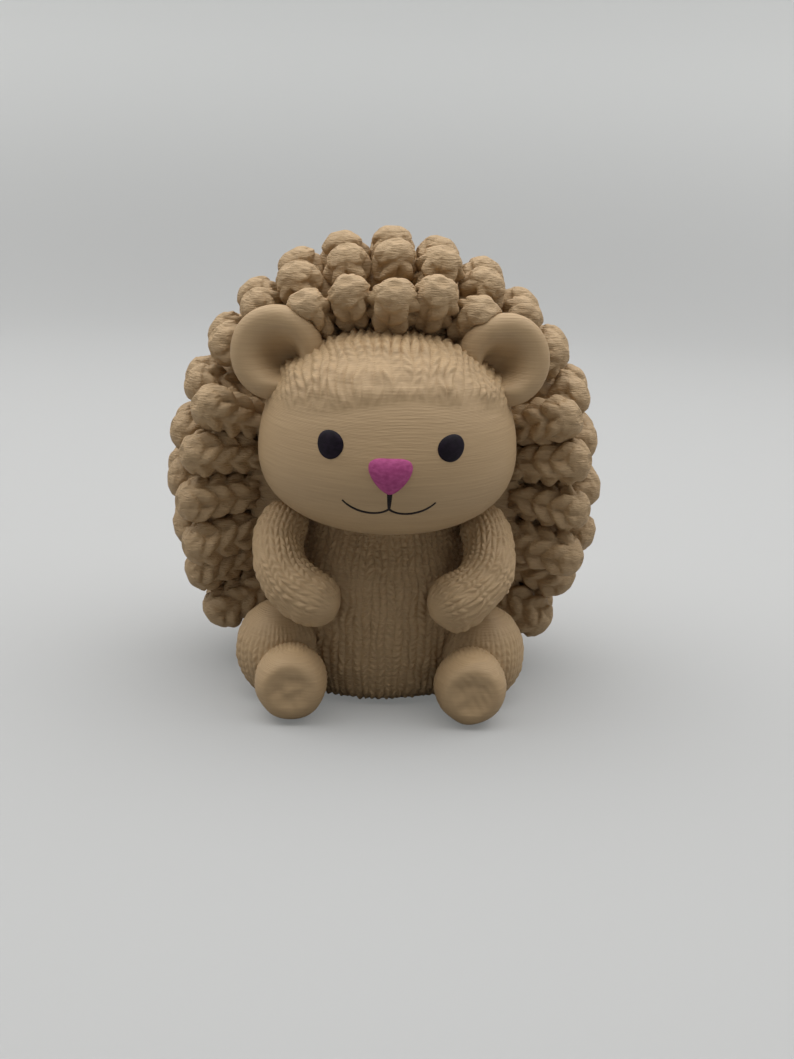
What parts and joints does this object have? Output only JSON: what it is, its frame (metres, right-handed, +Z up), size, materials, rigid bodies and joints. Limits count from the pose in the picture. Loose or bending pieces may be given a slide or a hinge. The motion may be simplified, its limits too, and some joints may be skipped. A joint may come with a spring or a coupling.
{
  "type": "hedgehog figurine",
  "caption": "Small seated hedgehog ornament with a knitted look: round head with cupped ears, bent arms on the belly, egg-shaped feet and a dome of stubby cord-like quills.",
  "frame": {"origin": "on the flat base, under the middle of the quill dome's width, where the figurine rests", "axes": "+Z up, the face looks along -Y, the hedgehog's own left is +X"},
  "size_m": [0.0732, 0.0667, 0.0747],
  "materials": {
    "tan_print": "matte tan filament with fine print layers",
    "eye_paint": "satin black paint",
    "nose_paint": "matte magenta-pink paint",
    "mouth_paint": "matte black line"
  },
  "bodies": {
    "root": {"body": "tan_print", "head": "tan_print", "back_shell": "tan_print", "ear_left": "tan_print", "ear_right": "tan_print", "arm_left": "tan_print", "arm_right": "tan_print", "thigh_left": "tan_print", "thigh_right": "tan_print", "foot_left": "tan_print", "foot_right": "tan_print", "quill_ring_1": "tan_print", "quill_ring_2": "tan_print", "quill_ring_3": "tan_print", "quill_ring_4": "tan_print", "quill_ring_5": "tan_print", "quill_ring_6": "tan_print", "quill_ring_7": "tan_print", "quill_ring_8": "tan_print", "quill_ring_9": "tan_print", "quill_ring_10": "tan_print", "eye_left": "eye_paint", "eye_right": "eye_paint", "nose": "nose_paint", "mouth": "mouth_paint"}
  },
  "joints": []
}
